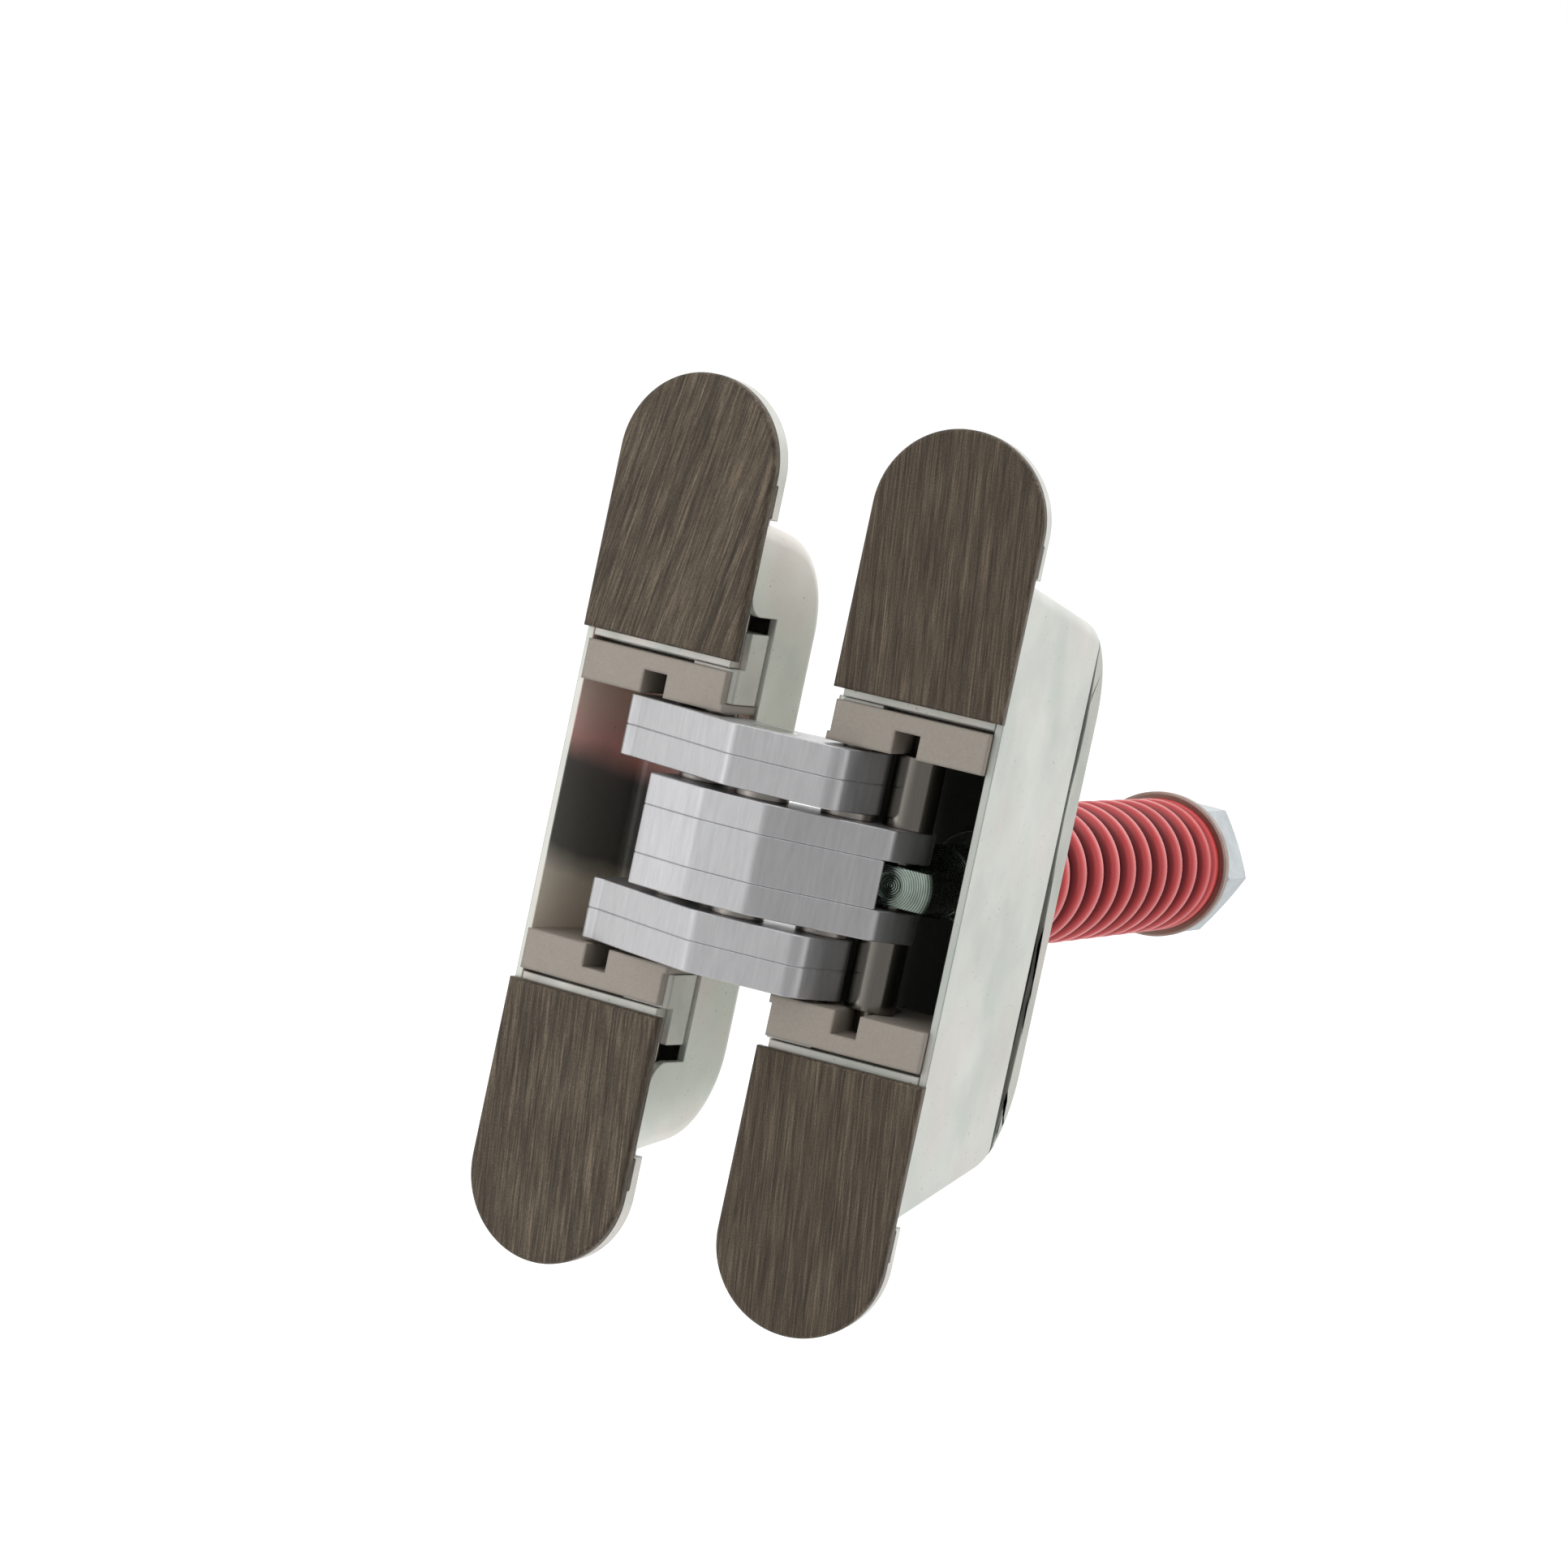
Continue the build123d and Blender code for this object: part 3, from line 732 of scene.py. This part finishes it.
def springRise(length):
    # the wire's middle along the spring, from ground end to ground end
    closed = springShape["closedTurns"]
    slow = springShape["closedPitch"]
    pitch = springShape["pitch"]
    start = -springShape["groundAway"]
    end = length + springShape["groundAway"]
    openTurns = (end - start - 2 * closed * slow) / pitch
    total = openTurns + 2 * closed

    def rise(turn):
        if turn < closed:
            return start + slow * turn
        if turn < total - closed:
            return start + slow * closed + pitch * (turn - closed)
        return end - slow * (total - turn)

    return total, rise


def windSpring():
    low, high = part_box("closing_spring")
    outside = (high.x - low.x) / 2 - springShape["insideSolid"]
    middle = outside - springShape["wireWidth"] / 2
    section = wireSection()
    total, rise = springRise(high.y - low.y)
    count = int(total * springShape["stepsPerTurn"])
    mesh = bmesh.new()
    rings = []
    for step in range(count + 1):
        turn = total * step / count
        angle = math.tau * (turn - total - springShape["tipTurn"])
        along = low.y + rise(turn)
        ring = []
        for across, up in section:
            radius = middle + across
            y = min(max(along + up, low.y), high.y)
            ring.append(mesh.verts.new((radius * math.cos(angle), y, radius * math.sin(angle))))
        rings.append(ring)
    joinRings(mesh, rings, closed=False)
    mesh.faces.new(rings[0])
    mesh.faces.new(list(reversed(rings[-1])))
    bmesh.ops.dissolve_degenerate(mesh, dist=springShape["mergeWithin"], edges=mesh.edges)
    bmesh.ops.recalc_face_normals(mesh, faces=mesh.faces)
    spring = linkNew("closing_spring_wound", mesh, springLacquerPaintedShade, smooth=True)
    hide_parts("closing_spring")
    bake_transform(spring)


windSpring()
print("spring wound")


# rod nut, a plain hexagon with chamfered ends
nutShape = {
    "acrossFlats": 18.8 * mm,
    "flatShare": 0.96,
    "chamferSlope": 0.9,
    "bore": 5.05 * mm,
    "segments": 120,
}


def makeNut():
    low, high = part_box("rod_nut")
    half = nutShape["acrossFlats"] / 2
    bore = nutShape["bore"]
    flat = half * nutShape["flatShare"]
    mesh = bmesh.new()

    def ring(radiusAt, heightAt):
        made = []
        for step in range(nutShape["segments"]):
            turn = 360 * step / nutShape["segments"]
            angle = math.radians(turn)
            radius = radiusAt(turn)
            spot = (radius * math.cos(angle), heightAt(radius), radius * math.sin(angle))
            made.append(mesh.verts.new(spot))
        return made

    def hexagon(turn):
        return half / math.cos(math.radians(turn % 60 - 30))

    def drop(radius):
        return max(0.0, radius - flat) * nutShape["chamferSlope"]

    rings = [
        ring(lambda turn: bore, lambda radius: low.y),
        ring(lambda turn: flat, lambda radius: low.y),
        ring(hexagon, lambda radius: low.y + drop(radius)),
        ring(hexagon, lambda radius: high.y - drop(radius)),
        ring(lambda turn: flat, lambda radius: high.y),
        ring(lambda turn: bore, lambda radius: high.y),
    ]
    joinRings(mesh, rings, closed=True)
    bmesh.ops.recalc_face_normals(mesh, faces=mesh.faces)
    nut = linkNew("rod_nut_hexagon", mesh, metals["nutZinc"], smooth=False)
    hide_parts("rod_nut")
    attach(nut, "pull_rod")


makeNut()
print("nut made")


# back cover, whose front edge stands away from the case below the middle
coverGap = {
    # height on the case and width of the gap there, both in millimetres
    "widths": [
        (-36.0, 0.0),
        (-30.0, 1.8),
        (-10.0, 2.6),
        (2.0, 1.2),
        (8.0, 0.3),
        (14.0, 0.2),
        (22.0, 1.4),
        (34.0, 0.0),
    ],
    "edgeReach": 1.2 * mm,
    "slices": 17,
}


def gapAt(height):
    widths = coverGap["widths"]
    if height <= widths[0][0]:
        return widths[0][1]
    for (low, first), (high, second) in zip(widths, widths[1:]):
        if height <= high:
            return first + (second - first) * (height - low) / (high - low)
    return widths[-1][1]


def makeBackCover():
    low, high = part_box("spring_unit_back_cover")
    mesh = bmesh.new()
    mesh.from_mesh(nodes["spring_unit_back_cover"].data)
    for step in range(1, coverGap["slices"]):
        z = low.z + (high.z - low.z) * step / coverGap["slices"]
        everything = list(mesh.verts) + list(mesh.edges) + list(mesh.faces)
        bmesh.ops.bisect_plane(mesh, geom=everything, plane_co=(0, 0, z), plane_no=(0, 0, 1))
    for vertex in mesh.verts:
        if vertex.co.y < low.y + coverGap["edgeReach"]:
            vertex.co.y += gapAt(vertex.co.z / mm) * mm
    finish = finishFor("spring_unit_back_cover")
    cover = linkNew("spring_unit_back_cover_lipped", mesh, finish, smooth=False)
    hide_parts("spring_unit_back_cover")
    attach(cover, "spring_unit")


makeBackCover()
print("back cover made")


# paper bowl, sky and lamps
studio = {
    "floorHeight": -0.085,
    "flatRadius": 1.2,
    "bowlRadius": 2.6,
    "bowlHeight": 1.9,
    "flatSteps": 6,
    "curveSteps": 12,
    "segments": 96,
    "paper": (0.95, 0.95, 0.95),
    "glow": 0.25,
    "bright": 1.0,
    "shade": 0.44,
    "shadeAim": (0.50, -0.86, 0.05),
    "shadeFrom": 0.35,
    "shadeFull": 0.95,
    "lampsAim": (0.0, 0.03, 0.0),
    "lamps": {
        "leftWindow": {"place": (-0.80, -0.70, 0.25), "size": (0.35, 1.0), "power": 0.9},
        "rightWindow": {"place": (0.9, -0.1, 0.5), "size": (0.4, 0.9), "power": 0.8},
        "overhead": {"place": (0.0, -0.1, 1.1), "size": (1.0, 1.0), "power": 2.0},
        "behind": {"place": (-0.1, 1.2, 0.5), "size": (1.2, 0.9), "power": 1.0},
    },
}


def makeStudioBowl():
    # a round pale floor that curves up all round, so no horizon shows
    flat = studio["flatRadius"]
    run = studio["bowlRadius"] - flat
    flatSteps = studio["flatSteps"]
    curveSteps = studio["curveSteps"]
    segments = studio["segments"]
    profile = [(flat * step / flatSteps, 0.0) for step in range(1, flatSteps + 1)]
    for step in range(1, curveSteps + 1):
        angle = math.radians(90 * step / curveSteps)
        height = studio["bowlHeight"] * (1 - math.cos(angle))
        profile.append((flat + run * math.sin(angle), height))
    mesh = bmesh.new()
    rings = []
    for radius, height in profile:
        ring = []
        for step in range(segments):
            angle = math.tau * step / segments
            z = studio["floorHeight"] + height
            ring.append(mesh.verts.new((radius * math.cos(angle), radius * math.sin(angle), z)))
        rings.append(ring)
    centre = mesh.verts.new((0.0, 0.0, studio["floorHeight"]))
    for step in range(segments):
        mesh.faces.new((centre, rings[0][step], rings[0][(step + 1) % segments]))
    # the rings run the other way round, so the paper faces up
    joinRings(mesh, [ring[::-1] for ring in rings], closed=False)
    paper, tree, shader = startMaterial("studioPaper", {
        "Base Color": (*studio["paper"], 1),
        "Roughness": 1.0,
        "Specular IOR Level": 0.0,
        "Emission Color": (1, 1, 1, 1),
        "Emission Strength": studio["glow"],
    })
    bowl = linkNew("studio_floor", mesh, paper, smooth=True)
    # the soft tent of light outside the bowl reaches the hinge through it
    bowl.visible_shadow = False
    bowl.visible_glossy = False
    bowl.visible_diffuse = False


def makeSky():
    # an even tent of light with a darker side where a photographer stands
    world = bpy.data.worlds.new("studioSky")
    world.use_nodes = True
    tree = world.node_tree
    around = addNode(tree, "ShaderNodeTexCoord").outputs["Generated"]
    towards = addVectorMath(tree, "DOT_PRODUCT", around, studio["shadeAim"])
    fade = addNode(tree, "ShaderNodeMapRange", interpolation_type="SMOOTHSTEP")
    feed(tree, fade.inputs["Value"], towards)
    feed(tree, fade.inputs["From Min"], studio["shadeFrom"])
    feed(tree, fade.inputs["From Max"], studio["shadeFull"])
    feed(tree, fade.inputs["To Min"], studio["bright"])
    feed(tree, fade.inputs["To Max"], studio["shade"])
    sky = tree.nodes["Background"]
    sky.inputs["Color"].default_value = (1, 1, 1, 1)
    tree.links.new(fade.outputs[0], sky.inputs["Strength"])
    bpy.context.scene.world = world


def addLamp(name, place, size, power):
    lamp = bpy.data.lights.new(name, "AREA")
    lamp.shape = "RECTANGLE"
    lamp.size, lamp.size_y = size
    lamp.energy = power
    holder = bpy.data.objects.new(name, lamp)
    holder.location = place
    aim = Vector(studio["lampsAim"]) - Vector(place)
    holder.rotation_euler = aim.to_track_quat("-Z", "Y").to_euler()
    bpy.context.scene.collection.objects.link(holder)


makeStudioBowl()
makeSky()
for name, lamp in studio["lamps"].items():
    addLamp(name, **lamp)
bpy.context.scene.view_settings.view_transform = "Standard"
print("studio ready")


# camera, placed as the photograph was taken
cameraSetup = {
    "place": (0.2153, -0.6696, 0.0685),
    "azimuth": 19.01,
    "elevation": 4.72,
    "roll": 12.04,
    "lens": 125.8,
    "sensor": 36.0,
    "nearest": 0.01,
    "farthest": 20.0,
}


def makeCamera():
    azimuth = math.radians(cameraSetup["azimuth"])
    elevation = math.radians(cameraSetup["elevation"])
    roll = math.radians(cameraSetup["roll"])
    back = Vector((
        math.sin(azimuth) * math.cos(elevation),
        -math.cos(azimuth) * math.cos(elevation),
        math.sin(elevation),
    ))
    right = (-back).cross(Vector((0, 0, 1))).normalized()
    up = right.cross(-back)
    rolledRight = math.cos(roll) * right + math.sin(roll) * up
    rolledUp = math.cos(roll) * up - math.sin(roll) * right
    lens = bpy.data.cameras.new("photoCamera")
    lens.lens = cameraSetup["lens"]
    lens.sensor_width = cameraSetup["sensor"]
    lens.clip_start = cameraSetup["nearest"]
    lens.clip_end = cameraSetup["farthest"]
    camera = bpy.data.objects.new("photoCamera", lens)
    turned = Matrix((rolledRight, rolledUp, back)).transposed().to_4x4()
    camera.matrix_world = Matrix.Translation(cameraSetup["place"]) @ turned
    bpy.context.scene.collection.objects.link(camera)
    bpy.context.scene.camera = camera


makeCamera()
print("camera ready")
